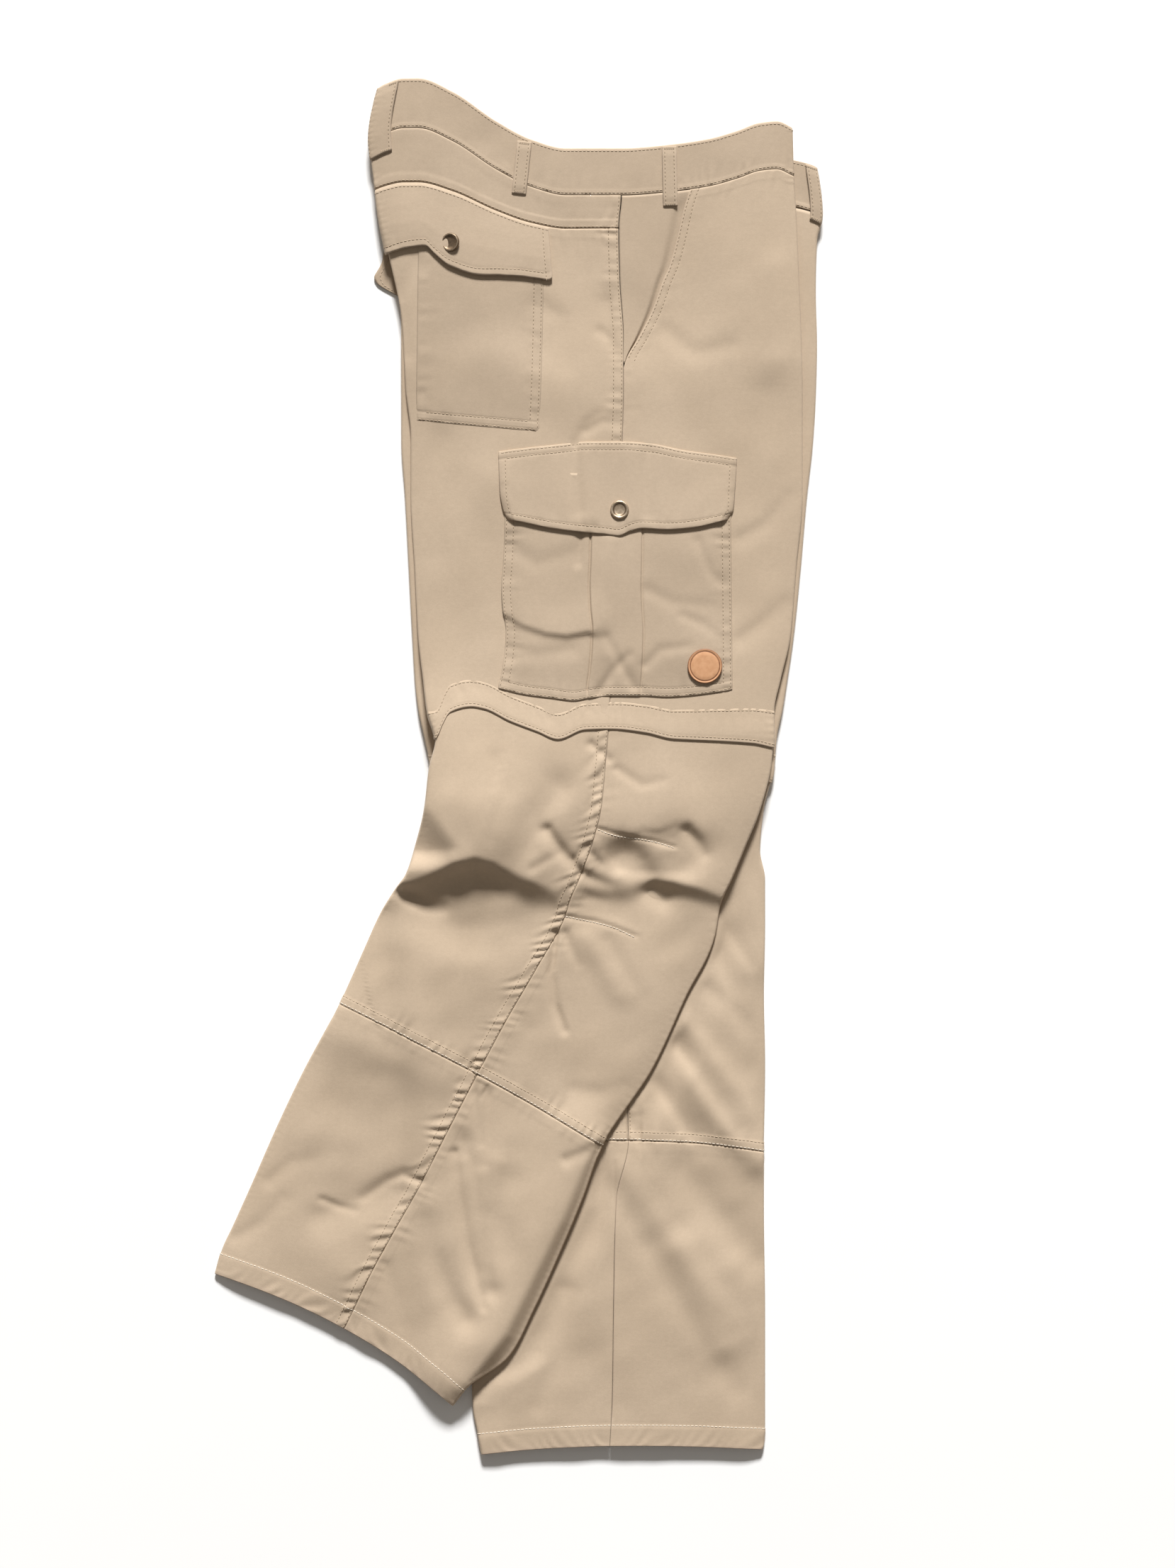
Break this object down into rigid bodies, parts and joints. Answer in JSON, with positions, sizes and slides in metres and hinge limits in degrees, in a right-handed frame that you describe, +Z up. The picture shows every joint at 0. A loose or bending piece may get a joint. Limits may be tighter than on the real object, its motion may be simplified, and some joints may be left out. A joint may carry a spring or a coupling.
{
  "type": "convertible zip-off trousers",
  "caption": "Convertible zip-off cargo trousers in tan canvas, laid on their side with one leg bent back over the other.",
  "frame": {"origin": "centre of the laid garment's outline, on the surface it lies on", "axes": "+Z up off the surface, +Y from the hems towards the waist, +X from the back fold towards the front fold"},
  "size_m": [0.493, 1.113, 0.026],
  "materials": {
    "canvas": "tightly woven cotton canvas with a faint sheen",
    "brass_caps": "antique, darkened",
    "leather_patch": "smooth vegetable-tanned, edge darkened"
  },
  "bodies": {
    "root": {"back_flap_left": "canvas", "back_flap_right": "canvas", "back_pocket_right": "canvas", "cargo_flap_right": "canvas", "cargo_pocket_right": "canvas", "knee_back_left": "canvas", "knee_back_right": "canvas", "knee_front_left": "canvas", "knee_front_right": "canvas", "loop_back": "canvas", "loop_front": "canvas", "loop_front_left": "canvas", "loop_side": "canvas", "patch_round": "leather_patch", "pocket_facing_right": "canvas", "shin_back_left": "canvas", "shin_back_right": "canvas", "shin_front_left": "canvas", "shin_front_right": "canvas", "snap_back_flap": "brass_caps", "snap_cargo_flap": "brass_caps", "thigh_back_left": "canvas", "thigh_back_right": "canvas", "thigh_front_left": "canvas", "thigh_front_right": "canvas", "waistband_left": "canvas", "waistband_right": "canvas", "yoke_left": "canvas", "yoke_right": "canvas", "zip_cover_left": "canvas", "zip_cover_right": "canvas", "zip_left": "canvas", "zip_right": "canvas"}
  },
  "joints": []
}
